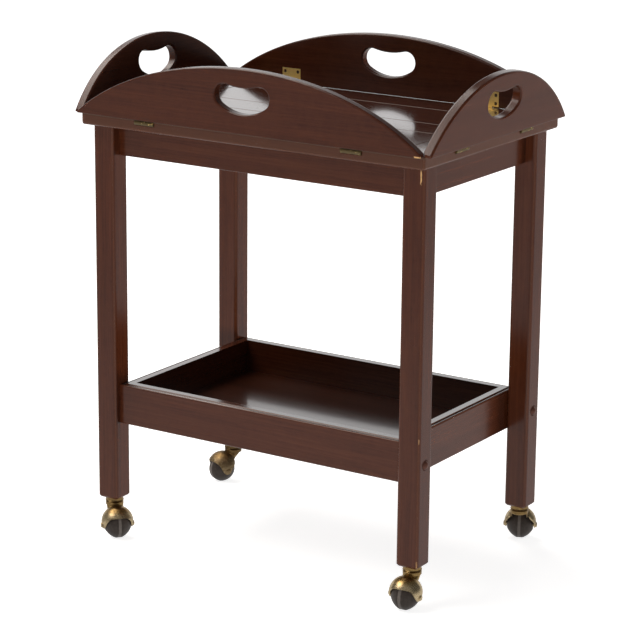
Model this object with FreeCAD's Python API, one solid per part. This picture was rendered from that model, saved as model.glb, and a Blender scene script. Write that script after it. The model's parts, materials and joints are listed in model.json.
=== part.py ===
"""Butler's-tray tea trolley in stained mahogany, with brass hinges and ball casters.

Millimetres. X runs along the long side, Y towards the back, Z up. The origin is on the
floor under the middle of the trolley. The four flaps are drawn standing up, as in use.
"""
import FreeCAD, Part
import math
import os

V = FreeCAD.Vector
UP = V(0, 0, 1)

# Tray board
TRAY_LENGTH = 613.0
TRAY_WIDTH = 406.0
TRAY_THICK = 19.0
TRAY_TOP = 689.0
TRAY_CORNER_R = 5.0
TRAY_LOWER_R = 4.0
TRAY_UPPER_R = 1.2
GROOVE_WIDTH = 2.4
GROOVE_DEPTH = 1.2
BORDER_X = 247.0
BORDER_Y = 136.0
PLANK_JOINTS_Y = (-38.0, 28.0)

# Flaps that stand round the tray. Lean is how far each stands out past upright, in degrees
FLAP_THICK = 16.0
FLAP_RISE = 97.7
FLAP_FOOT_GAP = 0.8
FLAP_FOOT_R = 1.2
FLAP_END_SHORT = 1.0
FLAP_BLUNT = 4.0
FLAP_EDGE_R = 3.0
FLAP_LEAN = {"front": 0.0, "right": 5.0, "back": 0.0, "left": 7.0}
CROWN_FULLNESS = 0.80
MITRE_GAP = 0.5
HAND_HEIGHT = 56.2
LOBE_R = 17.0
LOBE_SPREAD = 31.75
HAND_BELLY = 26.0
HAND_DIP = 12.8

# Butler's-tray hinges: the pin lies at the tray's edge, below its top
PIN_DROP = 5.0
PIN_R = 1.5
PIN_PLAY = 0.05
BARREL_R = 3.3
HINGE_WIDTH = 35.0
FLAP_KNUCKLE = 12.0
KNUCKLE_GAP = 0.5
LEAF_THICK = 2.0
LEAF_REACH = 23.5
TRAY_LEAF_START = 6.0
FLAP_LEAF_START = 3.0
STRAP_THICK = 3.5
SLOT_BELOW = 9.0
SLOT_DEEP = 6.2
SLOT_SIDE = 0.4
HINGE_AT_LONG = 185.0
HINGE_AT_SHORT = 97.0

# Countersunk hinge screws
SCREW_HEAD_R = 2.7
SCREW_SHANK_R = 1.3
SCREW_LENGTH = 11.0
SCREW_SLOT = 0.8
SCREW_SLOT_DEEP = 0.7
SCREW_SIDE = 12.3
SCREW_ROWS = (4.8, 18.0)

# Legs and aprons
FRAME_LENGTH = 595.0
FRAME_WIDTH = 370.0
LEG = 37.5
LEG_BOTTOM = 63.0
LEG_ARRIS_R = 5.5
LEG_FOOT_CHAMFER = 3.0
APRON_SETBACK = 17.5
APRON_HEIGHT = 49.0
APRON_EDGE_R = 1.5
DOWEL_R = 4.0
DOWEL_IN_LEG = 20.0
DOWEL_IN_APRON = 25.0
DOWELS_LONG = (12.0, 32.0)
DOWELS_SHORT = (22.0, 42.0)
BLOCK_SIDE = 45.0
BLOCK_HEIGHT = 30.0
BLOCK_BELOW_TOP = 9.0
CLEAT = 18.0
CLEAT_PLAY = 1.0
CLEAT_LONG = 360.0
CLEAT_SHORT = 160.0
CLEAT_SCREW_R = 2.0
CLEAT_SCREW_HEAD_R = 4.0
CLEAT_SCREW_HEAD = 2.5
CLEAT_SCREW_BITE = 9.0
CLEAT_SCREW_AT = 0.7

# Lower shelf, a shallow mitred box. Bead sizes are (inward, below the rim)
SHELF_BOTTOM = 189.0
WALL_HEIGHT = 65.5
WALL_THICK = 18.5
WALL_SETBACK = 12.0
WALL_FOOT_R = 3.0
BEAD_START = (0.0, 4.4)
BEAD_CROWN = (2.3, 1.1)
BEAD_QUIRK = (5.2, 2.6)
RIM_FLAT = 7.6
FLOOR_THICK = 6.0
FLOOR_BELOW_RIM = 52.5
FLOOR_PLAY = 0.2
BATTEN = 12.0
BATTEN_LIFT = 0.5
BOLT_ABOVE_BOTTOM = 33.0
BOLT_R = 3.0
BOLT_HEAD_R = 7.0
BOLT_HEAD = 4.2
BOLT_IN_WALL = 34.0
INSERT_R = 4.5
INSERT_LENGTH = 18.0

# Ball casters. Yaw is the way the ball trails, from above, counted from +X
CASTER_YAW = {"front_left": -41.0, "front_right": -85.0, "back_left": -116.0, "back_right": 113.0}
TRAIL = 22.0
BALL_R = 22.0
TREAD_HALF = 4.6
FLANK_Y = 14.5
FLANK_R = 15.8
HUB_Y = 20.6
HUB_R = 7.5
AXLE_R = 3.0
AXLE_PLAY = 0.05
RIVET_R = 4.2
RIVET_SEAT = 24.3
RIVET_END = 27.0
HOOD_OUT = 25.6
HOOD_IN = 23.6
HOOD_SHIFT = (-1.5, 4.0)
BALL_ROOM = 22.8
MOUTH_EDGE = [(20.5, 15.4), (15.2, 11.6), (11.4, 4.5), (7.4, -2.4)]
NAPE_EDGE = [(-4.6, -2.0), (-7.0, 3.4), (-11.0, 8.0), (-14.2, 12.5), (-14.6, 18.0)]
EAR_LOW = (1.2, -5.6)
NECK_R = 13.3
NECK_SLANT = 15.0
NECK_WALL = 1.6
NECK_OPEN = 3.5
COLLAR_R = 14.3
COLLAR_Z = 48.4
COLLAR_TOP_Z = 55.2
COLLAR_EDGE = 1.2
FLANGE_R = 14.0
FLANGE_LIP_R = 14.8
FLANGE_LIP = 1.8
FLANGE_Z = 55.8
STEM_R = 5.0
STEM_PLAY = 0.05
STEM_IN_LEG = 38.0
SOCKET_R = 7.5
SOCKET_IN_LEG = 41.0

# Worked out from the driving sizes
LEG_TOP = TRAY_TOP - TRAY_THICK
LEG_LENGTH = LEG_TOP - LEG_BOTTOM
LEG_X = FRAME_LENGTH / 2 - LEG / 2
LEG_Y = FRAME_WIDTH / 2 - LEG / 2
INNER_X = FRAME_LENGTH / 2 - LEG
INNER_Y = FRAME_WIDTH / 2 - LEG
APRON_THICK = LEG - APRON_SETBACK
APRON_BOTTOM = LEG_TOP - APRON_HEIGHT
PIN_Z = TRAY_TOP - PIN_DROP
FLAP_FOOT = TRAY_TOP + FLAP_FOOT_GAP
SHELF_HALF_X = INNER_X
SHELF_HALF_Y = FRAME_WIDTH / 2 - WALL_SETBACK
SHELF_TOP = SHELF_BOTTOM + WALL_HEIGHT
FLOOR_TOP = SHELF_TOP - FLOOR_BELOW_RIM
BOLT_Z = SHELF_BOTTOM + BOLT_ABOVE_BOTTOM

CORNERS = {"front_left": (-1, -1), "front_right": (1, -1), "back_left": (-1, 1), "back_right": (1, 1)}


def box(x, y, z):
    """A box from three (low, high) pairs."""
    return Part.makeBox(x[1] - x[0], y[1] - y[0], z[1] - z[0], V(x[0], y[0], z[0]))


def rod(radius, start, end):
    """A round bar between two points."""
    run = end - start
    return Part.makeCylinder(radius, run.Length, start, run)


def turned(profile):
    """A solid of revolution about Z from (radius, height) points joined by straight lines."""
    wire = Part.makePolygon([V(r, 0, z) for r, z in profile + profile[:1]])
    return Part.Face(wire).revolve(V(0, 0, 0), UP, 360)


def spun(shape, angle):
    """A copy turned about the trolley's upright middle line."""
    copy = shape.copy()
    copy.rotate(V(0, 0, 0), UP, angle)
    return copy


def around(long_edge, long_half, short_edge, short_half):
    """The four sides in turn: name, turn from the front, distance out and half the length."""
    return (("front", 0, long_edge, long_half), ("right", 90, short_edge, short_half),
            ("back", 180, long_edge, long_half), ("left", 270, short_edge, short_half))


def save(name, *solids):
    """Write one piece, or a group of like pieces, as one node."""
    shape = solids[0] if len(solids) == 1 else Part.makeCompound(list(solids))
    shape.exportStep(f"parts/{name}.step")


def mitre_cutters(half, edge, gap):
    """Two upright prisms that trim both ends of a front piece on the corner's diagonal."""
    reach = 60.0
    cutters = []
    for side in (-1, 1):
        corner = half - gap
        points = [(corner + reach, -reach), (corner - reach, reach), (corner + reach, reach)]
        wire = Part.makePolygon([V(side * s, w - edge, 0) for s, w in points + points[:1]])
        cutters.append(Part.Face(wire).extrude(V(0, 0, TRAY_TOP + 2 * FLAP_RISE)))
    return cutters


def screw(point, into):
    """A countersunk slotted screw whose head lies flush at point."""
    flare = SCREW_HEAD_R - SCREW_SHANK_R
    solid = turned([(0, 0), (SCREW_HEAD_R, 0), (SCREW_SHANK_R, flare),
                    (SCREW_SHANK_R, SCREW_LENGTH - flare), (0, SCREW_LENGTH)])
    slot = box((-SCREW_HEAD_R, SCREW_HEAD_R), (-SCREW_SLOT / 2, SCREW_SLOT / 2), (0, SCREW_SLOT_DEEP))
    placed = FreeCAD.Placement(point, FreeCAD.Rotation(UP, into))
    whole, slotted = solid.copy(), solid.cut(slot)
    whole.Placement = placed
    slotted.Placement = placed
    return whole, slotted


def hand_hole(edge):
    """The kidney-shaped hand hole as a cutter: two lobes, a full belly and a dip on top."""
    sag = HAND_BELLY - LOBE_R
    belly_z = (LOBE_SPREAD ** 2 - sag ** 2) / (2 * sag)
    dip_r = (LOBE_SPREAD ** 2 + HAND_DIP ** 2 - LOBE_R ** 2) / (2 * (LOBE_R - HAND_DIP))
    dip_z = dip_r + HAND_DIP
    low = V(LOBE_SPREAD, 0, -belly_z).normalize() * LOBE_R
    high = V(-LOBE_SPREAD, 0, dip_z).normalize() * LOBE_R
    right = V(LOBE_SPREAD, 0, 0)

    def mirrored(p):
        return V(-p.x, 0, p.z)

    lobe = [right + low, right + V(LOBE_R, 0, 0), right + high]
    arcs = [Part.Arc(*lobe),
            Part.Arc(lobe[2], V(0, 0, HAND_DIP), mirrored(lobe[2])),
            Part.Arc(mirrored(lobe[2]), mirrored(lobe[1]), mirrored(lobe[0])),
            Part.Arc(mirrored(lobe[0]), V(0, 0, -HAND_BELLY), lobe[0])]
    wire = Part.Wire([arc.toShape() for arc in arcs])
    wire.translate(V(0, -edge - FLAP_THICK, TRAY_TOP + HAND_HEIGHT))
    return Part.Face(wire).extrude(V(0, 2 * FLAP_THICK, 0))


def flap_board(edge, half):
    """One flap, upright: the cap of an ellipse with eased edges and a hand hole."""
    end = half - FLAP_END_SHORT
    outer = -edge - (FLAP_THICK - PIN_DROP)
    foot = [V(-end, outer, FLAP_FOOT), V(end, outer, FLAP_FOOT)]
    tips = [p + V(0, 0, FLAP_BLUNT) for p in foot]
    top = V(0, outer, TRAY_TOP + FLAP_RISE)
    start = math.acos(CROWN_FULLNESS)
    middle = top - V(0, 0, (top.z - tips[0].z) / (1 - math.sin(start)))
    ellipse = Part.Ellipse(middle + V(end / CROWN_FULLNESS, 0, 0), top, middle)
    sides = [Part.makeLine(foot[0], foot[1]), Part.makeLine(foot[1], tips[1]),
             ellipse.toShape(start, math.pi - start), Part.makeLine(tips[0], foot[0])]
    board = Part.Face(Part.Wire(sides)).extrude(V(0, FLAP_THICK, 0))
    board = board.cut(hand_hole(edge))
    eased = [e for e in board.Edges if e.Curve.TypeId != "Part::GeomLine"]
    board = board.makeFillet(FLAP_EDGE_R, eased)
    soles = [e for e in board.Edges if abs(e.BoundBox.ZMax - FLAP_FOOT) < 0.01 and e.Length > end]
    board = board.makeFillet(FLAP_FOOT_R, soles)
    return board.cut(mitre_cutters(half, edge, MITRE_GAP))


def tray_leaf(place, edge):
    """The leaf let into the tray, with a knuckle at each side of the flap's knuckle."""
    w = -edge
    wide = (place - HINGE_WIDTH / 2, place + HINGE_WIDTH / 2)
    inner = FLAP_KNUCKLE / 2 + KNUCKLE_GAP
    flush = (TRAY_TOP - LEAF_THICK, TRAY_TOP)
    leaf = box(wide, (w + TRAY_LEAF_START, w + TRAY_LEAF_START + LEAF_REACH), flush)
    for low, high in ((wide[0], place - inner), (place + inner, wide[1])):
        leaf = leaf.fuse(box((low, high), (w, w + TRAY_LEAF_START), flush))
        leaf = leaf.fuse(box((low, high), (w, w + BARREL_R), (PIN_Z, TRAY_TOP)))
        leaf = leaf.fuse(rod(BARREL_R, V(low, w, PIN_Z), V(high, w, PIN_Z)))
    bore = rod(PIN_R, V(wide[0] - 1, w, PIN_Z), V(wide[1] + 1, w, PIN_Z))
    return leaf.removeSplitter().cut(bore)


def flap_leaf(place, edge):
    """The leaf let into the flap's inner face, with one knuckle in the middle."""
    face = -edge + PIN_DROP
    wide = (place - HINGE_WIDTH / 2, place + HINGE_WIDTH / 2)
    mid = (place - FLAP_KNUCKLE / 2, place + FLAP_KNUCKLE / 2)
    foot = TRAY_TOP + FLAP_LEAF_START
    leaf = box(wide, (face - LEAF_THICK, face), (foot, foot + LEAF_REACH))
    leaf = leaf.fuse(box(mid, (face - STRAP_THICK, face), (PIN_Z, foot)))
    leaf = leaf.fuse(rod(BARREL_R, V(mid[0], -edge, PIN_Z), V(mid[1], -edge, PIN_Z)))
    bore = rod(PIN_R + PIN_PLAY, V(mid[0] - 1, -edge, PIN_Z), V(mid[1] + 1, -edge, PIN_Z))
    return leaf.removeSplitter().cut(bore)


def hinge_screws(place, edge):
    """Screws of both leaves of one hinge: (whole, slotted) pairs for the tray and the flap."""
    tray, flap = [], []
    for side in (-SCREW_SIDE, SCREW_SIDE):
        for row in SCREW_ROWS:
            tray.append(screw(V(place + side, -edge + TRAY_LEAF_START + row, TRAY_TOP), V(0, 0, -1)))
            spot = V(place + side, -edge + PIN_DROP, TRAY_TOP + FLAP_LEAF_START + row)
            flap.append(screw(spot, V(0, -1, 0)))
    return tray, flap


def leaned(shape, edge, lean):
    """A flap's piece tipped outward about its pin, as it stands in use."""
    copy = shape.copy()
    copy.rotate(V(0, -edge, PIN_Z), V(1, 0, 0), lean)
    return copy


def groove(start, end):
    """A V-shaped cutter along the tray's top between two points."""
    run = end - start
    across = run.cross(UP).normalize() * (GROOVE_WIDTH / 2)
    base = start + V(0, 0, TRAY_TOP)
    points = [base + across, base - across, base - V(0, 0, GROOVE_DEPTH)]
    return Part.Face(Part.makePolygon(points + points[:1])).extrude(run)


def plain_tray():
    """The tray board with eased edges and the scored joints of its boards."""
    x, y = TRAY_LENGTH / 2, TRAY_WIDTH / 2
    board = box((-x, x), (-y, y), (LEG_TOP, TRAY_TOP))
    upright = [e for e in board.Edges if abs(e.tangentAt(0).z) > 0.9]
    board = board.makeFillet(TRAY_CORNER_R, upright)
    lower = [e for e in board.Edges if abs(e.BoundBox.ZMax - LEG_TOP) < 0.01]
    board = board.makeFillet(TRAY_LOWER_R, lower)
    upper = [e for e in board.Edges if abs(e.BoundBox.ZMin - TRAY_TOP) < 0.01]
    board = board.makeFillet(TRAY_UPPER_R, upper)
    scores = [groove(V(-BORDER_X, joint, 0), V(BORDER_X, joint, 0)) for joint in PLANK_JOINTS_Y]
    for side in (-1, 1):
        scores.append(groove(V(-x - 1, side * BORDER_Y, 0), V(x + 1, side * BORDER_Y, 0)))
        scores.append(groove(V(side * BORDER_X, -BORDER_Y, 0), V(side * BORDER_X, BORDER_Y, 0)))
    return board.cut(scores)


def make_tray_and_flaps():
    """Tray board, flaps, hinges and their screws, one side at a time."""
    board = plain_tray()
    pins, tray_screws, cuts = [], [], []
    for side, turn, edge, half in around(TRAY_WIDTH / 2, TRAY_LENGTH / 2, TRAY_LENGTH / 2, TRAY_WIDTH / 2):
        flap = flap_board(edge, half)
        lean = FLAP_LEAN[side]
        spread = HINGE_AT_LONG if side in ("front", "back") else HINGE_AT_SHORT
        leaves, flap_leaves, flap_screws, flap_cuts = [], [], [], []
        for place in (-spread, spread):
            in_tray, in_flap = hinge_screws(place, edge)
            leaf = tray_leaf(place, edge).cut([whole for whole, slotted in in_tray])
            wing = flap_leaf(place, edge).cut([whole for whole, slotted in in_flap])
            reach = HINGE_WIDTH / 2 + SLOT_SIDE
            slot = box((place - reach, place + reach), (-edge - 1, -edge + SLOT_DEEP),
                       (TRAY_TOP - SLOT_BELOW, TRAY_TOP + 1))
            ends = [V(place + sign * (HINGE_WIDTH / 2 + SLOT_SIDE / 2), -edge, PIN_Z) for sign in (-1, 1)]
            pins.append(spun(rod(PIN_R, *ends), turn))
            leaves.append(spun(leaf, turn))
            flap_leaves.append(spun(leaned(wing, edge, lean), turn))
            tray_screws += [spun(slotted, turn) for whole, slotted in in_tray]
            flap_screws += [spun(leaned(slotted, edge, lean), turn) for whole, slotted in in_flap]
            cuts += [spun(cutter, turn) for cutter in [slot, leaf] + [whole for whole, slotted in in_tray]]
            flap_cuts += [wing] + [whole for whole, slotted in in_flap]
        flap = flap.cut(flap_cuts)
        save(f"flap_{side}", spun(leaned(flap, edge, lean), turn))
        save(f"tray_hinge_leaves_{side}", *leaves)
        save(f"flap_hinge_leaves_{side}", *flap_leaves)
        save(f"flap_hinge_screws_{side}", *flap_screws)
    save("hinge_pins", *pins)
    save("tray_hinge_screws", *tray_screws)
    cleats, cleat_screws = make_tray_cleats()
    save("tray_cleats", *[cleat.cut(cleat_screws) for cleat in cleats])
    save("tray_cleat_screws", *cleat_screws)
    save("tray_board", board.cut(cuts).cut(cleat_screws))


def make_tray_cleats():
    """Strips under the tray that drop inside the aprons and keep it in place, with their screws."""
    cleats, screws = [], []
    for side, turn, edge, half in around(INNER_Y, CLEAT_LONG / 2, INNER_X, CLEAT_SHORT / 2):
        near = -edge + CLEAT_PLAY
        under = LEG_TOP - CLEAT
        cleats.append(spun(box((-half, half), (near, near + CLEAT), (under, LEG_TOP)), turn))
        for spot in (-half * CLEAT_SCREW_AT, half * CLEAT_SCREW_AT):
            foot = V(spot, near + CLEAT / 2, under)
            head = turned([(0, 0), (CLEAT_SCREW_HEAD_R, 0), (CLEAT_SCREW_R, CLEAT_SCREW_HEAD),
                           (CLEAT_SCREW_R, CLEAT + CLEAT_SCREW_BITE), (0, CLEAT + CLEAT_SCREW_BITE)])
            head.translate(foot)
            screws.append(spun(head, turn))
    return cleats, screws


def apron_dowels():
    """Pairs of dowels at each end of each apron, staggered so that those of one leg miss each other."""
    dowels = []
    mid = APRON_SETBACK + APRON_THICK / 2
    for side, turn, edge, half in around(FRAME_WIDTH / 2, INNER_X, FRAME_LENGTH / 2, INNER_Y):
        levels = DOWELS_LONG if side in ("front", "back") else DOWELS_SHORT
        for end in (-1, 1):
            for level in levels:
                ends = [V(end * (half + reach), -edge + mid, APRON_BOTTOM + level)
                        for reach in (-DOWEL_IN_APRON, DOWEL_IN_LEG)]
                dowels.append(spun(rod(DOWEL_R, *ends), turn))
    return dowels


def make_base_frame():
    """Legs, aprons, dowels and glue blocks, with the casters' sockets and the shelf's bolts."""
    dowels = apron_dowels()
    bolts, inserts = shelf_bolts()
    sockets = []
    for name, (sx, sy) in CORNERS.items():
        x, y = sx * LEG_X, sy * LEG_Y
        leg = box((x - LEG / 2, x + LEG / 2), (y - LEG / 2, y + LEG / 2), (LEG_BOTTOM, LEG_TOP))
        leg = leg.makeFillet(LEG_ARRIS_R, [e for e in leg.Edges if abs(e.tangentAt(0).z) > 0.9])
        foot = [e for e in leg.Edges if abs(e.BoundBox.ZMax - LEG_BOTTOM) < 0.01]
        leg = leg.makeChamfer(LEG_FOOT_CHAMFER, foot)
        socket = caster_socket()
        socket.translate(V(x, y, 0))
        sockets.append(socket)
        bore = rod(SOCKET_R, V(x, y, LEG_BOTTOM), V(x, y, LEG_BOTTOM + SOCKET_IN_LEG))
        save(f"leg_{name}", leg.cut(dowels + bolts + [bore]))
    for side, turn, edge, half in around(FRAME_WIDTH / 2, INNER_X, FRAME_LENGTH / 2, INNER_Y):
        apron = box((-half, half), (-edge + APRON_SETBACK, -edge + LEG), (APRON_BOTTOM, LEG_TOP))
        lower = [e for e in apron.Edges if abs(e.BoundBox.ZMax - APRON_BOTTOM) < 0.01 and e.Length > LEG]
        save(f"apron_{side}", spun(apron.makeFillet(APRON_EDGE_R, lower), turn).cut(dowels))
    blocks = []
    for sx, sy in CORNERS.values():
        corner = [(0, 0), (BLOCK_SIDE, 0), (0, BLOCK_SIDE)]
        points = [V(sx * (INNER_X - dx), sy * (INNER_Y - dy), LEG_TOP - BLOCK_BELOW_TOP - BLOCK_HEIGHT)
                  for dx, dy in corner + corner[:1]]
        blocks.append(Part.Face(Part.makePolygon(points)).extrude(V(0, 0, BLOCK_HEIGHT)))
    save("apron_dowels", *dowels)
    save("corner_blocks", *blocks)
    save("caster_sockets", *sockets)
    save("shelf_bolts", *bolts)
    save("shelf_bolt_inserts", *inserts)
    make_shelf(bolts, inserts)


def shelf_bolts():
    """One dome-headed bolt through each leg into the end of a long shelf wall, and its insert."""
    bolts, inserts = [], []
    dome_r = (BOLT_HEAD_R ** 2 + BOLT_HEAD ** 2) / (2 * BOLT_HEAD)
    for sx, sy in CORNERS.values():
        face = V(sx * FRAME_LENGTH / 2, sy * LEG_Y, BOLT_Z)
        out = V(sx, 0, 0)
        tip = face - out * (LEG + BOLT_IN_WALL)
        dome = Part.makeSphere(dome_r, face + out * (BOLT_HEAD - dome_r))
        head = dome.common(rod(BOLT_HEAD_R, face, face + out * BOLT_HEAD))
        bolts.append(head.fuse(rod(BOLT_R, tip, face)).removeSplitter())
        sleeve = rod(INSERT_R, tip, tip + out * INSERT_LENGTH)
        inserts.append(sleeve.cut(rod(BOLT_R, tip, face)))
    return bolts, inserts


def wall_section(edge):
    """A shelf wall's section in the YZ plane: eased foot, and a bead along the outer top edge."""
    def at(inward, below):
        return V(0, -edge + inward, SHELF_TOP - below)

    bend = WALL_FOOT_R * (1 - math.sqrt(0.5))
    face_foot = at(0, WALL_HEIGHT - WALL_FOOT_R)
    under = at(WALL_FOOT_R, WALL_HEIGHT)
    line = [under, at(WALL_THICK, WALL_HEIGHT), at(WALL_THICK, 0), at(RIM_FLAT, 0), at(*BEAD_QUIRK)]
    edges = [Part.makeLine(a, b) for a, b in zip(line, line[1:])]
    edges.append(Part.Arc(at(*BEAD_QUIRK), at(*BEAD_CROWN), at(*BEAD_START)).toShape())
    edges.append(Part.makeLine(at(*BEAD_START), face_foot))
    edges.append(Part.Arc(face_foot, at(bend, WALL_HEIGHT - bend), under).toShape())
    return Part.Face(Part.Wire(edges))


def make_shelf(bolts, inserts):
    """Four mitred walls, the floor panel between them and the battens that carry it."""
    for side, turn, edge, half in around(SHELF_HALF_Y, SHELF_HALF_X, SHELF_HALF_X, SHELF_HALF_Y):
        section = wall_section(edge)
        section.translate(V(-half, 0, 0))
        wall = section.extrude(V(2 * half, 0, 0)).cut(mitre_cutters(half, edge, 0))
        save(f"shelf_wall_{side}", spun(wall, turn).cut(bolts + inserts))
    x = SHELF_HALF_X - WALL_THICK
    y = SHELF_HALF_Y - WALL_THICK
    floor = (FLOOR_TOP - FLOOR_THICK, FLOOR_TOP)
    save("shelf_floor", box((FLOOR_PLAY - x, x - FLOOR_PLAY), (FLOOR_PLAY - y, y - FLOOR_PLAY), floor))
    under = (SHELF_BOTTOM + BATTEN_LIFT, floor[0])
    battens = []
    for side in (-1, 1):
        battens.append(box((-x, x), sorted((side * y, side * (y - BATTEN))), under))
        battens.append(box(sorted((side * x, side * (x - BATTEN))), (BATTEN - y, y - BATTEN), under))
    save("shelf_battens", *battens)


def caster_socket():
    """The flanged sleeve that is driven up into a leg and takes a caster's stem."""
    bore = STEM_R + STEM_PLAY
    top = LEG_BOTTOM + SOCKET_IN_LEG
    lip = FLANGE_Z + FLANGE_LIP
    return turned([(bore, FLANGE_Z), (FLANGE_R, FLANGE_Z), (FLANGE_LIP_R, (FLANGE_Z + lip) / 2),
                   (FLANGE_R, lip), (FLANGE_R, LEG_BOTTOM), (SOCKET_R, LEG_BOTTOM),
                   (SOCKET_R, top), (bore, top)])


def caster_ball():
    """The ball wheel: a narrow flat tread and full flanks, turned about its axle along Y."""
    def at(along, radius):
        return V(radius, along, 0)

    bore = AXLE_R + AXLE_PLAY
    edges = [Part.makeLine(at(-TREAD_HALF, BALL_R), at(TREAD_HALF, BALL_R)),
             Part.Arc(at(TREAD_HALF, BALL_R), at(FLANK_Y, FLANK_R), at(HUB_Y, HUB_R)).toShape(),
             Part.makeLine(at(HUB_Y, HUB_R), at(HUB_Y, bore)),
             Part.makeLine(at(HUB_Y, bore), at(-HUB_Y, bore)),
             Part.makeLine(at(-HUB_Y, bore), at(-HUB_Y, HUB_R)),
             Part.Arc(at(-HUB_Y, HUB_R), at(-FLANK_Y, FLANK_R), at(-TREAD_HALF, BALL_R)).toShape()]
    return Part.Face(Part.Wire(edges)).revolve(V(0, 0, 0), V(0, 1, 0), 360)


def hood_outline():
    """The hood seen along the axle: a mouth before, a nape behind, and an ear round the axle."""
    far = 2 * HOOD_OUT
    mouth = [V(x, 0, z) for x, z in MOUTH_EDGE]
    nape = [V(x, 0, z) for x, z in NAPE_EDGE]
    frame = [nape[-1], V(-far, 0, nape[-1].z), V(-far, 0, far), V(far, 0, far),
             V(far, 0, mouth[0].z), mouth[0]]
    edges = [Part.makeLine(a, b) for a, b in zip(frame, frame[1:])]
    for points in (mouth, nape):
        curve = Part.BSplineCurve()
        curve.interpolate(points)
        edges.append(curve.toShape())
    edges.append(Part.Arc(mouth[-1], V(EAR_LOW[0], 0, EAR_LOW[1]), nape[0]).toShape())
    outline = Part.Wire(Part.__sortEdges__(edges))
    outline.translate(V(0, -far, 0))
    return Part.Face(outline).extrude(V(0, 2 * far, 0))


def caster_hood():
    """The brass hood over the ball, its slanting neck, open behind, and its collar, in one casting."""
    middle = V(HOOD_SHIFT[0], 0, HOOD_SHIFT[1])
    shell = Part.makeSphere(HOOD_OUT, middle).common(hood_outline())
    ease = COLLAR_EDGE
    collar = turned([(0, COLLAR_Z), (COLLAR_R - ease, COLLAR_Z), (COLLAR_R, COLLAR_Z + ease),
                     (COLLAR_R, COLLAR_TOP_Z - ease), (COLLAR_R - ease, COLLAR_TOP_Z), (0, COLLAR_TOP_Z)])
    collar.translate(V(-TRAIL, 0, -BALL_R))
    foot = V(-TRAIL, 0, COLLAR_Z + ease - BALL_R)
    disc = Part.Face(Part.Wire(Part.makeCircle(NECK_R, foot, UP)))
    neck = disc.extrude(V(NECK_SLANT, 0, -NECK_SLANT))
    hood = shell.fuse([neck, collar]).removeSplitter()
    hood = hood.cut([Part.makeSphere(HOOD_IN, middle), Part.makeSphere(BALL_ROOM)])
    mouth = V(-TRAIL - NECK_OPEN, 0, COLLAR_Z - BALL_R)
    hollow = Part.Face(Part.Wire(Part.makeCircle(NECK_R - NECK_WALL, mouth, UP)))
    hollow = hollow.extrude(V(2 * NECK_SLANT, 0, -2 * NECK_SLANT))
    stem_seat = rod(STEM_R, V(-TRAIL, 0, COLLAR_Z - BALL_R), V(-TRAIL, 0, COLLAR_TOP_Z - BALL_R + 1))
    far = 2 * HOOD_OUT
    holes = [hollow, stem_seat, rod(AXLE_R, V(0, -far, 0), V(0, far, 0))]
    holes += [rod(RIVET_R, V(0, side * RIVET_SEAT, 0), V(0, side * far, 0)) for side in (-1, 1)]
    return hood.cut(holes)


def caster_axle():
    """The axle with a domed rivet head in a spot-face at each ear."""
    axle = rod(AXLE_R, V(0, -RIVET_END, 0), V(0, RIVET_END, 0))
    heads = [rod(RIVET_R, V(0, side * RIVET_SEAT, 0), V(0, side * RIVET_END, 0)) for side in (-1, 1)]
    axle = axle.fuse(heads).removeSplitter()
    rims = [e for e in axle.Edges if abs(abs(e.CenterOfMass.y) - RIVET_END) < 0.01]
    return axle.makeFillet((RIVET_END - RIVET_SEAT) / 2, rims)


def make_casters():
    """Stem, hood, axle and ball of each caster, each trailing its own way."""
    stem = rod(STEM_R, V(-TRAIL, 0, COLLAR_Z - BALL_R), V(-TRAIL, 0, LEG_BOTTOM + STEM_IN_LEG - BALL_R))
    pieces = {"stem": stem, "hood": caster_hood(), "axle": caster_axle(), "ball": caster_ball()}
    for name, (sx, sy) in CORNERS.items():
        for piece, shape in pieces.items():
            placed = shape.copy()
            placed.translate(V(TRAIL, 0, BALL_R))
            placed = spun(placed, CASTER_YAW[name])
            placed.translate(V(sx * LEG_X, sy * LEG_Y, 0))
            save(f"caster_{piece}_{name}", placed)


os.makedirs("parts", exist_ok=True)
make_tray_and_flaps()
make_base_frame()
make_casters()
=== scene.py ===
import json
import math
import bpy
from mathutils import Matrix, Vector


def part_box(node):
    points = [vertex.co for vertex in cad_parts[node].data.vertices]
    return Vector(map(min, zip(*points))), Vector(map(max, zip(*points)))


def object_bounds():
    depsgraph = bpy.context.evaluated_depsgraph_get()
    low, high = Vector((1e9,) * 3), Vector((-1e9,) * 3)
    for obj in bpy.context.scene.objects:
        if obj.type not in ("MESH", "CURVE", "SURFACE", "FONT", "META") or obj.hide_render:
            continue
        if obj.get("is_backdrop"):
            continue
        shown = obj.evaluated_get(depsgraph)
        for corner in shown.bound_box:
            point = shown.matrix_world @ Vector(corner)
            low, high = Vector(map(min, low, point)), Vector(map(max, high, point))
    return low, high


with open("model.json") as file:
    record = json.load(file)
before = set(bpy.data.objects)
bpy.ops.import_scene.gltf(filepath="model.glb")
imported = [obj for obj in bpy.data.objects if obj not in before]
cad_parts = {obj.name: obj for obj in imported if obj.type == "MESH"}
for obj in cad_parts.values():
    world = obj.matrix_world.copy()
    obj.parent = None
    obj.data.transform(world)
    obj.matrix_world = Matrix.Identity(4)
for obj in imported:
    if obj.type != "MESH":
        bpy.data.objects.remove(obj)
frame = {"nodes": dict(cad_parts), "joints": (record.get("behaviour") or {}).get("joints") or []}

cad_low, cad_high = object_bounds()
node = frame["nodes"]


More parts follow.
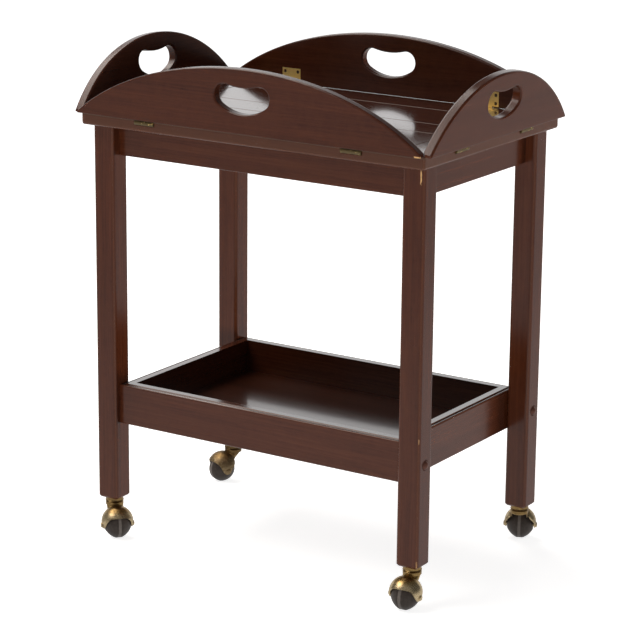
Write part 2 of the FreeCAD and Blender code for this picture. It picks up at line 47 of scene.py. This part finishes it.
# The legs are four square posts of straight-grained red hardwood, stained dark as mahogany and lacquered.
# Their arrises are rounded over, where the stain has rubbed thin, and one has been chipped to the bare wood.
# Round the head of each bolt that holds the shelf, the wood is darkened and dulled in a ring of painted
# shade.
class Wire:
    """An output in a material's nodes. Arithmetic on wires adds Math nodes."""

    def __init__(self, tree, socket=None):
        self.tree = tree
        self.socket = socket

    def new(self, kind, inputs=None, out=0, stops=None, **settings):
        made = self.tree.nodes.new("ShaderNode" + kind)
        for name, value in settings.items():
            setattr(made, name, value)
        if stops:
            ramp = made.color_ramp.elements
            while len(ramp) < len(stops):
                ramp.new(0.5)
            for element, (position, colour) in zip(ramp, stops):
                element.position = position
                element.color = (*colour, 1)
        for key, value in (inputs or {}).items():
            if isinstance(value, Wire):
                self.tree.links.new(value.socket, made.inputs[key])
            else:
                made.inputs[key].default_value = value
        return Wire(self.tree, made.outputs[out] if made.outputs else None)

    def maths(self, operation, *values):
        return self.new("Math", dict(enumerate(values)), operation=operation)

    def __add__(self, other):
        return self.maths("ADD", self, other)

    def __sub__(self, other):
        return self.maths("SUBTRACT", self, other)

    def __rsub__(self, other):
        return self.maths("SUBTRACT", other, self)

    def __mul__(self, other):
        return self.maths("MULTIPLY", self, other)

    def __truediv__(self, other):
        return self.maths("DIVIDE", self, other)

    def __abs__(self):
        return self.maths("ABSOLUTE", self)

    __radd__ = __add__
    __rmul__ = __mul__

    def larger(self, other):
        return self.maths("MAXIMUM", self, other)

    def between(self, low, high):
        """0 below low, 1 above high, and a soft step from one to the other."""
        return self.new("MapRange", {0: self, 1: low, 2: high}, interpolation_type="SMOOTHSTEP")

    def mixed(self, first, second):
        """A colour that goes from the first to the second as this wire goes from 0 to 1."""
        colours = {key: colour if isinstance(colour, Wire) else (*colour, 1)
                   for key, colour in ((6, first), (7, second))}
        return self.new("Mix", {0: self, **colours}, out=2, data_type="RGBA")

    def parts(self):
        return [self.new("SeparateXYZ", {0: self}, out=index) for index in range(3)]

    def cloud(self, x, y, z, detail=2.0, roughness=0.5):
        """Soft noise over three coordinates that are counted in its own lumps."""
        lumps = self.new("CombineXYZ", {0: x, 1: y, 2: z})
        look = {"Scale": 1.0, "Detail": detail, "Roughness": roughness}
        return self.new("TexNoise", {"Vector": lumps, **look})

    def even_cloud(self, point, lumps_per_mm, detail, roughness=0.5):
        return self.cloud(*(value * lumps_per_mm for value in point), detail, roughness)


def start_finish(name):
    """A new material, and its point in millimetres of the model as three wires."""
    material = bpy.data.materials.new(name)
    material.use_nodes = True
    material.node_tree.nodes.clear()
    wire = Wire(material.node_tree)
    point = wire.new("TexCoord", out="Object")
    in_mm = wire.new("VectorMath", {0: point, "Scale": 1000.0}, operation="SCALE")
    return material, in_mm.parts()


def end_finish(shader):
    shader.new("OutputMaterial", {"Surface": shader})


def dress(material, *names):
    for name in names:
        slots = node[name].data.materials
        slots.clear()
        slots.append(material)


def wood_grain(across, through, along):
    """Light and dark from 0 to 1, and the depth of the pores, for fibres that run along."""
    wander = across.cloud(across * 0.012, through * 0.012, along * 0.004, 1.0) - 0.5
    across = across + wander * 14
    through = through + wander * 9
    ribbon = across.cloud(across * 0.055, through * 0.055, along * 0.0016, 1.0)
    figure = across.cloud(across * 0.30, through * 0.30, along * 0.006, 3.0, 0.6)
    fibre = across.cloud(across * 1.5, through * 1.5, along * 0.03, 2.0)
    pores = across.cloud(across * 2.4, through * 2.4, along * 0.17, 1.0).between(0.60, 0.72)
    return ribbon * 0.30 + figure * 0.42 + fibre * 0.28, pores


def arris_wear(wire):
    """1 on the rounded edges, 0 on the flat faces, told apart by how the surface is turned."""
    turned = wire.new("VectorMath", {0: wire.new("TexCoord", out="Normal")}, operation="ABSOLUTE")
    x, y, z = turned.parts()
    return (1 - x.larger(y).larger(z)).between(0.03, 0.25)


def bare_spot(point, centre, reach):
    """1 inside a ragged chip round a centre, with its own reach along each axis, in mm."""
    x, y, z = point
    ragged = x.cloud(x * 0.5, y * 0.5, z * 0.25, 2.0) - 0.5
    apart = [abs(value - middle) / size for value, middle, size in zip(point, centre, reach)]
    away = apart[0].larger(apart[1]).larger(apart[2])
    return 1 - (away + ragged * 1.2).between(0.70, 1.0)


DARK_STREAK = (0.022, 0.0045, 0.0017)
PLAIN_STAIN = (0.053, 0.0125, 0.0046)
LIGHT_STREAK = (0.094, 0.0255, 0.0098)
FILLED_PORE = (0.020, 0.0045, 0.0018)
RUBBED_STAIN = (0.072, 0.0205, 0.0080)
BROWN_EDGE = (0.086, 0.0350, 0.0190)
WORN_ARRIS = (0.125, 0.0400, 0.0160)
BARE_WOOD = (0.62, 0.36, 0.15)
LACQUER_SHINE = 0.42


def lacquer(tone, pores, worn=None, bare=None, edge=None, rough=0.20, lie=None, **sockets):
    """Dark stained wood under lacquer: worn thin, chipped bare or left paler where the wires say."""
    stains = [(0.28, DARK_STREAK), (0.50, PLAIN_STAIN), (0.72, LIGHT_STREAK)]
    wood = tone.new("ValToRGB", {0: tone}, stops=stains)
    wood = (pores * 0.50).mixed(wood, FILLED_PORE)
    point = [value * 1000 for value in tone.new("TexCoord", out="Object").parts()]
    film = tone.even_cloud(point, 0.12, 2.0)
    rubbed = tone.even_cloud(point, 0.014, 3.0, 0.6)
    mottle = tone.even_cloud(point, 0.07, 3.0, 0.7)
    wood = ((rubbed - 0.5) * 0.5 + (mottle - 0.5) * 0.7 + 0.22).mixed(wood, RUBBED_STAIN)
    relief = film * 0.5 - pores * 0.4
    rough = rubbed * 0.10 + pores * 0.05 + (rough - 0.05)
    if edge:
        wood = (edge * 0.55).mixed(wood, BROWN_EDGE)
    if worn:
        wood = (worn * 0.45).mixed(wood, WORN_ARRIS)
        rough = rough + worn * 0.06
    if bare:
        wood = bare.mixed(wood, BARE_WOOD)
        relief = relief - bare * 1.5
        rough = rough + bare * 0.45
    heights = {"Strength": 0.08, "Distance": 0.0004, "Height": relief}
    bump = tone.new("Bump", {**heights, "Normal": lie} if lie else heights)
    return tone.new("BsdfPrincipled", {"Base Color": wood, "Roughness": rough, "Normal": bump,
                                       "Specular IOR Level": LACQUER_SHINE, **sockets})


TOP_CHIP = ((291.6, -185.0, 656.5), (1.2, 1.5, 10.0))
FOOT_CHIP = ((295.9, -183.4, 70.0), (0.9, 0.9, 6.0))
SHELF_CHIP = ((295.9, -183.4, 262.0), (0.7, 0.7, 4.5))
WEAK_CHIP = 0.45
BOLT_Y = 166.25
BOLT_Z = 222.0
BOLT_SHADE_INSIDE = 7.2
BOLT_SHADE_OUTSIDE = 9.5
upright, (x, y, z) = start_finish("lacquered_upright_wood")
tone, pores = wood_grain(x, y, z)
top_chip, foot_chip, shelf_chip = (bare_spot((x, y, z), *chip) for chip in (TOP_CHIP, FOOT_CHIP, SHELF_CHIP))
# Painted shade: within a ring round each bolt head the wood is darkened to a tenth and made rougher.
beside = abs(y) - BOLT_Y
above = z - BOLT_Z
clear_of_painted_bolt_shade = x.maths("SQRT", beside * beside + above * above).between(BOLT_SHADE_INSIDE, BOLT_SHADE_OUTSIDE)
end_finish(lacquer(tone * (clear_of_painted_bolt_shade * 0.9 + 0.1), pores, arris_wear(x),
                   top_chip + (foot_chip + shelf_chip) * WEAK_CHIP, rough=(1 - clear_of_painted_bolt_shade) * 0.6 + 0.20))
dress(upright, "leg_front_left", "leg_front_right", "leg_back_left", "leg_back_right")


# The aprons are four rails under the tray, set back from the leg faces and dowelled into the legs.
# They are the same stained and lacquered wood, with the grain along each rail.
def on_top(wire):
    """1 where the surface faces up or down, 0 where it stands upright."""
    return abs(wire.new("TexCoord", out="Normal").parts()[2]).between(0.6, 0.9)


def rail_wood(name, order):
    """The finish of rails whose grain runs along the last axis of the order."""
    material, point = start_finish(name)
    grain = wood_grain(*(point["xyz".index(axis)] for axis in order))
    gloss = {"Coat Weight": on_top(point[0]), "Coat Roughness": 0.14}
    end_finish(lacquer(*grain, arris_wear(point[0]), **gloss))
    return material


along_x = rail_wood("lacquered_long_wood", "yzx")
along_y = rail_wood("lacquered_cross_wood", "xzy")
dress(along_x, "apron_front", "apron_back")
dress(along_y, "apron_left", "apron_right")


# Dowels, glue blocks, shelf battens and tray cleats are plain unstained beech, sawn square and left as cut.
# They are hidden inside the frame or under the boards.
PALE_BEECH = (0.62, 0.42, 0.23)
DARK_BEECH = (0.42, 0.25, 0.12)
BEECH_PORE = (0.30, 0.16, 0.07)
beech, (x, y, z) = start_finish("plain_beech")
tone, pores = wood_grain(y, z, x)
plain = tone.new("ValToRGB", {0: tone}, stops=[(0.3, DARK_BEECH), (0.7, PALE_BEECH)])
plain = (pores * 0.5).mixed(plain, BEECH_PORE)
sawn = tone.new("Bump", {"Strength": 0.3, "Distance": 0.0004, "Height": tone - pores})
end_finish(tone.new("BsdfPrincipled", {"Base Color": plain, "Roughness": tone * 0.2 + 0.55, "Normal": sawn}))
dress(beech, "apron_dowels", "corner_blocks", "shelf_battens", "tray_cleats")


# The lower shelf is a shallow box: four walls mitred at the corners, with a bead along the outer top edge,
# round a thin floor that lies on battens. All of it is stained and lacquered, the floor darker and glossier.
dress(along_x, "shelf_wall_front", "shelf_wall_back")
dress(along_y, "shelf_wall_left", "shelf_wall_right")
SHELF_FLOOR_TONE = 0.78
SHELF_FLOOR_GLOSS = {"Specular IOR Level": 0.5, "Coat Weight": 1.0, "Coat IOR": 1.7, "Coat Roughness": 0.11}
shelf_gloss, (x, y, z) = start_finish("lacquered_shelf_floor")
tone, pores = wood_grain(y, z, x)
end_finish(lacquer(tone * SHELF_FLOOR_TONE, pores, rough=0.30, **SHELF_FLOOR_GLOSS))
dress(shelf_gloss, "shelf_floor")


# Each leg takes a dome-headed bolt, bronzed steel, into a threaded insert in the shelf wall behind it.
# The heads have rubbed to a reddish brown.
DARK_BRONZE = (0.055, 0.020, 0.013)
RUBBED_BRONZE = (0.17, 0.070, 0.048)
bronzed, point = start_finish("bronzed_steel")
mottle = point[0].even_cloud(point, 0.5, 3.0, 0.6)
brown = mottle.mixed(DARK_BRONZE, RUBBED_BRONZE)
end_finish(mottle.new("BsdfPrincipled", {"Base Color": brown, "Metallic": 0.6,
                                         "Roughness": mottle * 0.3 + 0.22}))
dress(bronzed, "shelf_bolts", "shelf_bolt_inserts")


# The tray is a board of planks with scored joints, clamped by cross pieces at its ends and long rails at its
# sides. Its edges are left browner than its face, and its top is polished more than the rest of the trolley.
# The top is shaded as slightly cupped, and dust lies in the joints and along the feet of the flaps.
END_JOINT_X = 247.0
SIDE_JOINT_Y = 136.0
PLANK_JOINTS_Y = (-38.0, 28.0)
JOINT_HALF = 1.25
FLAP_FOOT_X = 299.0
FLAP_FOOT_Y = 195.5
JOINT_BED_Z = 686.5
EDGE_SHADE_Z = 685.5
CUP_SLOPE = 0.020
POLISH_IOR = 1.95
DUST = (0.090, 0.052, 0.036, 1)
tray_gloss, (x, y, z) = start_finish("lacquered_tray_wood")
inside_x = 1 - abs(x).between(END_JOINT_X - 0.2, END_JOINT_X + 0.2)
inside_y = 1 - abs(y).between(SIDE_JOINT_Y - 0.2, SIDE_JOINT_Y + 0.2)
crosswise = (1 - inside_x) * inside_y
tone_long, pores_long = wood_grain(y, z, x)
tone_cross, pores_cross = wood_grain(x, z, y)
tone = tone_long * (1 - crosswise) + tone_cross * crosswise
pores = pores_long * (1 - crosswise) + pores_cross * crosswise


def scored(across, at):
    """1 in the bed of a joint that is scored at a place across the board."""
    return 1 - abs(across - at).between(0.6 * JOINT_HALF, JOINT_HALF)


joints = scored(abs(y), SIDE_JOINT_Y) + scored(abs(x), END_JOINT_X) * inside_y
for place in PLANK_JOINTS_Y:
    joints = joints + scored(y, place) * inside_x
near_top = z.between(JOINT_BED_Z - 0.5, JOINT_BED_Z + 0.5)
at_flap_ends = abs(x).between(FLAP_FOOT_X - 1, FLAP_FOOT_X + 1)
under_flaps = at_flap_ends.larger(abs(y).between(FLAP_FOOT_Y - 1, FLAP_FOOT_Y + 1)) * near_top
top = on_top(x)
tone = tone * (1 - z.between(EDGE_SHADE_Z - 1, EDGE_SHADE_Z + 1) * (1 - top) * 0.9)
cupped = x.new("Bump", {"Strength": 1.0, "Distance": 0.001, "Height": y * CUP_SLOPE})
wood = lacquer(tone, pores, arris_wear(x), edge=1 - top, lie=cupped, rough=(1 - top) * 0.12 + 0.09)
polish = x.new("BsdfGlossy", {"Roughness": 0.13, "Normal": cupped})
mirroring = x.new("Fresnel", {"IOR": POLISH_IOR, "Normal": cupped}) * top
polished = x.new("MixShader", {0: mirroring, 1: wood, 2: polish})
dusty = (joints * near_top * 0.8).larger(under_flaps)
end_finish(x.new("MixShader", {0: dusty, 1: polished, 2: x.new("BsdfDiffuse", {"Color": DUST})}))
dress(tray_gloss, "tray_board")


# Four flaps stand round the tray on butler's-tray hinges, cut from board to a bow with a kidney hand hole.
# The grain runs along each flap, and the front one has a knocked corner.
KNOCKED_CORNER = ((301.0, -213.5, 690.6), (5.5, 3.0, 1.5))
LONG_FLAP_TONE = 0.90
flap_long, (x, y, z) = start_finish("lacquered_long_flap")
knocked = bare_spot((x, y, z), *KNOCKED_CORNER)
tone, pores = wood_grain(y, z, x)
end_finish(lacquer(tone * LONG_FLAP_TONE, pores, bare=knocked))
flap_cross, (x, y, z) = start_finish("lacquered_cross_flap")
end_finish(lacquer(*wood_grain(x, z, y)))
dress(flap_long, "flap_front", "flap_back")
dress(flap_cross, "flap_left", "flap_right")


# The hinges are stamped brass leaves with rolled knuckles on a pin. The leaves have kept a dull yellow.
# The knuckles outside the tray are painted nearly black: partly tarnish from handling, partly painted shade
# of the slots they sit in.
SIDES = ("front", "back", "left", "right")
KNUCKLE_X = 303.0
KNUCKLE_Y = 199.5
KNUCKLE_TOP_Z = 689.5
DULL_YELLOW = (0.66, 0.46, 0.140)
BRIGHT_YELLOW = (0.90, 0.69, 0.290)
BLACK_TARNISH_AND_SHADE = (0.035, 0.022, 0.012)
hinge_brass, (x, y, z) = start_finish("hinge_brass")
dull = x.even_cloud((x, y, z), 0.25, 3.0, 0.6)
at_ends = abs(x).between(KNUCKLE_X - 0.5, KNUCKLE_X + 0.5)
at_sides = abs(y).between(KNUCKLE_Y - 0.5, KNUCKLE_Y + 0.5)
outside = at_ends.larger(at_sides) * (1 - z.between(KNUCKLE_TOP_Z, KNUCKLE_TOP_Z + 1.5))
# Partly painted shade: the knuckles outside the tray, in the slots of its edge, are darkened with their
# tarnish.
tarnish_and_slot_shade = outside * (1 - x.cloud(x * 0.14, y * 0.14, z * 0.3, 2.0).between(0.62, 0.70))
yellow = (tarnish_and_slot_shade * 0.9).mixed(dull.mixed(DULL_YELLOW, BRIGHT_YELLOW), BLACK_TARNISH_AND_SHADE)
end_finish(x.new("BsdfPrincipled", {"Base Color": yellow, "Metallic": 0.8 - tarnish_and_slot_shade * 0.6,
                                    "Roughness": dull * 0.2 + tarnish_and_slot_shade * 0.10 + 0.32}))
for side in SIDES:
    dress(hinge_brass, f"tray_hinge_leaves_{side}", f"flap_hinge_leaves_{side}")


# The hinge pins are plain steel rod, and the leaves and cleats are held by countersunk steel screws.
# All of them have browned with age.
BROWNED = (0.035, 0.025, 0.018)
RUBBED_STEEL = (0.16, 0.12, 0.085)
steel, point = start_finish("browned_steel")
spots = point[0].even_cloud(point, 0.8, 3.0, 0.6)
browned = spots.mixed(BROWNED, RUBBED_STEEL)
end_finish(spots.new("BsdfPrincipled", {"Base Color": browned, "Metallic": 1.0,
                                        "Roughness": spots * 0.3 + 0.3}))
dress(steel, "hinge_pins", "tray_hinge_screws", "tray_cleat_screws")
dress(steel, *(f"flap_hinge_screws_{side}" for side in SIDES))


# A ball caster is plugged under each leg: a socket flange, a turning stem, a cast brass hood and its axle.
# The brass is aged: pale and satin on the hood, golden on the neck, and tarnished in spots.
# The flange is browner, partly tarnish and partly painted shade under the leg, and painted shade darkens the
# brass towards the back left.
CORNERS = ("front_left", "front_right", "back_left", "back_right")
NECK_Z = (40, 48)
FLANGE_SHADE_Z = (47, 52)
DULL_HOOD = (0.52, 0.395, 0.215)
PALE_HOOD = (0.76, 0.610, 0.380)
DULL_NECK = (0.30, 0.185, 0.060)
GOLDEN_NECK = (0.58, 0.39, 0.150)
BROWN_FLANGE_AND_SHADE = (0.170, 0.105, 0.050)
PATINA = (0.200, 0.130, 0.060)
TARNISH = (0.150, 0.090, 0.040)
caster_brass, (x, y, z) = start_finish("aged_brass")
# Painted shade: patina and tarnish grow towards the back left, which darkens that caster most.
shade_towards_back_left = y * 0.0007 - x * 0.0004
patina = (x.even_cloud((x, y, z), 0.07, 4.0, 0.6) + shade_towards_back_left).between(0.40, 0.68)
tarnish = (x.cloud(x * 0.22, y * 0.22, z * 0.30, 4.0, 0.7) + shade_towards_back_left * 0.6).between(0.46, 0.66)
brushed = x.cloud(x * 0.5, y * 0.5, z * 1.6, 3.0, 0.65)
metal = z.between(*NECK_Z).mixed(brushed.mixed(DULL_HOOD, PALE_HOOD), brushed.mixed(DULL_NECK, GOLDEN_NECK))
# Partly painted shade: the flange under the leg is mixed towards brown.
metal = (z.between(*FLANGE_SHADE_Z) * 0.4).mixed(metal, BROWN_FLANGE_AND_SHADE)
metal = (patina * 0.55).mixed(metal, PATINA)
metal = (tarnish * 0.60).mixed(metal, TARNISH)
dents = x.new("Bump", {"Strength": 0.25, "Distance": 0.0005, "Height": brushed + patina - tarnish})
end_finish(x.new("BsdfPrincipled", {"Base Color": metal, "Metallic": 1.0, "Normal": dents,
                                    "Roughness": brushed * 0.14 + patina * 0.10 + tarnish * 0.12 + 0.20}))
dress(caster_brass, "caster_sockets")
for corner in CORNERS:
    dress(caster_brass, *(f"caster_{part}_{corner}" for part in ("stem", "hood", "axle")))


# Each ball is moulded in dark, hard rubber and turns on the axle across its hood.
# A narrow tread round its middle has worn pale on the floor.
TREAD_HALF = 2.4
DARK_RUBBER = (0.014, 0.0110, 0.0095)
SCUFFED_RUBBER = (0.056, 0.044, 0.037)
WORN_TREAD = (0.130, 0.112, 0.100)
for corner in CORNERS:
    ball, point = start_finish(f"ball_{corner}")
    low, high = (1000 * Vector(end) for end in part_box(f"caster_ball_{corner}"))
    x, y, z = (value - middle for value, middle in zip(point, (low + high) / 2))
    axle = Vector(next(joint["axis"] for joint in frame["joints"] if joint["name"] == f"ball_{corner}_roll"))
    from_tread = abs(x * axle.x + y * axle.y + z * axle.z)
    scuffs = x.even_cloud((x, y, z), 0.22, 4.0, 0.65)
    tread = (1 - from_tread.between(TREAD_HALF - 0.5, TREAD_HALF + 0.3)) * (scuffs * 0.8 + 0.35)
    rubber = tread.mixed(scuffs.mixed(DARK_RUBBER, SCUFFED_RUBBER), WORN_TREAD)
    grain = x.new("Bump", {"Strength": 0.12, "Distance": 0.0003, "Height": scuffs})
    end_finish(x.new("BsdfPrincipled", {"Base Color": rubber, "Roughness": scuffs * 0.2 + 0.30,
                                        "Normal": grain, "Specular IOR Level": 0.25}))
    dress(ball, f"caster_ball_{corner}")


# The trolley stands on a plain pale studio floor. In its polish the floor shows as a painted pool of light,
# for mirror rays see the floor glow, brighter near the trolley.
# The floor keeps the trolley's shadow and goes to white round it.
FLOOR_HALF = 12.0
FLOOR_GREY = (0.82, 0.82, 0.82, 1)
WHITE = (1, 1, 1)


def grey(level):
    return (level, level, level)


def seen_by(wire):
    """1 for what the camera sees, and 1 for what is seen in a mirror or through glass."""
    camera, glossy, through = (wire.new("LightPath", out=f"Is {kind} Ray")
                               for kind in ("Camera", "Glossy", "Transmission"))
    return camera, wire.maths("MINIMUM", glossy + through, 1.0)


floor_paint, (x, y, z) = start_finish("studio_floor")
seen, mirrored = seen_by(x)
away = x.maths("SQRT", x * x + y * y)
matt = x.new("BsdfDiffuse", {"Color": FLOOR_GREY})
glow = x.new("Emission", {"Color": away.between(600, 3000).mixed(grey(0.80), WHITE)})
# Painted light: for mirror rays the floor glows, brighter near the trolley than far off.
painted_light_pool = x.new("Emission", {"Color": away.between(700, 2700).mixed(grey(0.68), grey(0.45))})
plain = x.new("MixShader", {0: seen, 1: matt, 2: x.new("AddShader", {0: matt, 1: glow})})
end_finish(x.new("MixShader", {0: mirrored, 1: plain, 2: painted_light_pool}))
sheet = bpy.data.meshes.new("studio_floor")
corners = [(-1, -1), (1, -1), (1, 1), (-1, 1)]
sheet.from_pydata([(FLOOR_HALF * x, FLOOR_HALF * y, cad_low.z) for x, y in corners], [], [(0, 1, 2, 3)])
sheet.materials.append(floor_paint)
floor = bpy.data.objects.new("studio_floor", sheet)
bpy.context.scene.collection.objects.link(floor)
floor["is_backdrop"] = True


# A white sweep stands behind the trolley and a dim room before it, for what its polish mirrors.
# To the camera the background is plain white.
world = bpy.data.worlds.new("studio")
bpy.context.scene.world = world
world.use_nodes = True
world.node_tree.nodes.clear()
wire = Wire(world.node_tree)
seen, mirrored = seen_by(wire)
x, y, z = wire.new("TexCoord", out="Generated").parts()
behind = (y * 0.84 - x * 0.54).between(0.50, 0.80)
sweep = (behind * (1 - z.between(0.36, 0.52))).mixed(grey(0.10), WHITE)
room = y.between(-0.45, 0.05).mixed(grey(0.26), sweep)
ambient = wire.new("Background", {"Color": (*grey(0.13), 1)})
lit = wire.new("MixShader", {0: mirrored, 1: ambient, 2: wire.new("Background", {"Color": room})})
white = wire.new("Background", {"Color": (*WHITE, 1)})
wire.new("OutputWorld", {"Surface": wire.new("MixShader", {0: seen, 1: lit, 2: white})})


# Three long soft boxes stand low round the trolley and light its sides as a bright floor does.
# A large warm one hangs high at the left, which shows in the crowns and in the hoods.
SHELF_HEIGHT = (0, 0, 0.35)
WARM_WHITE = (1.0, 0.94, 0.88)


def soft_box(name, place, aim, width, height, power):
    light = bpy.data.lights.new(name, "AREA")
    light.shape = "RECTANGLE"
    light.size = width
    light.size_y = height
    light.energy = power
    box = bpy.data.objects.new(name, light)
    box.location = place
    box.rotation_euler = (Vector(aim) - Vector(place)).to_track_quat("-Z", "Y").to_euler()
    box.visible_glossy = False
    box.visible_camera = False
    bpy.context.scene.collection.objects.link(box)
    return box


soft_box("front_box", (1.7, -3.5, 0.12), SHELF_HEIGHT, width=2.8, height=0.2, power=90)
soft_box("right_box", (2.8, 3.4, 0.12), SHELF_HEIGHT, width=2.8, height=0.2, power=225)
soft_box("left_box", (-4.0, -0.6, 0.12), SHELF_HEIGHT, width=2.8, height=0.2, power=130)
high_box = soft_box("high_box", (-1.5, -0.4, 2.85), (0, -0.3, 0.6), width=4.2, height=1.7, power=92)
high_box.visible_glossy = True
high_box.data.color = WARM_WHITE


# The camera stands about 4 m off at the height of a person's chest and looks at the front right corner.
# It has a long lens and leans by half a degree.
CAMERA_PLACE = (2.0885, -3.2257, 1.3950)
AZIMUTH = math.radians(32.881)
ELEVATION = math.radians(15.064)
ROLL = math.radians(0.563)
LENS_MM = 142.5
SENSOR_MM = 36.0
outward = Vector((math.sin(AZIMUTH), -math.cos(AZIMUTH), 0))
back = math.cos(ELEVATION) * outward + Vector((0, 0, math.sin(ELEVATION)))
level = Vector((math.cos(AZIMUTH), math.sin(AZIMUTH), 0))
upward = back.cross(level)
right = math.cos(ROLL) * level + math.sin(ROLL) * upward
up = math.cos(ROLL) * upward - math.sin(ROLL) * level
lens = bpy.data.cameras.new("photograph_view")
lens.sensor_width = SENSOR_MM
lens.lens = LENS_MM
lens.clip_end = 100.0
camera = bpy.data.objects.new("photograph_view", lens)
turn = Matrix((right, up, back)).transposed().to_4x4()
camera.matrix_world = Matrix.Translation(CAMERA_PLACE) @ turn
bpy.context.scene.collection.objects.link(camera)
bpy.context.scene.camera = camera
bpy.context.scene.view_settings.view_transform = "Standard"

low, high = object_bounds()
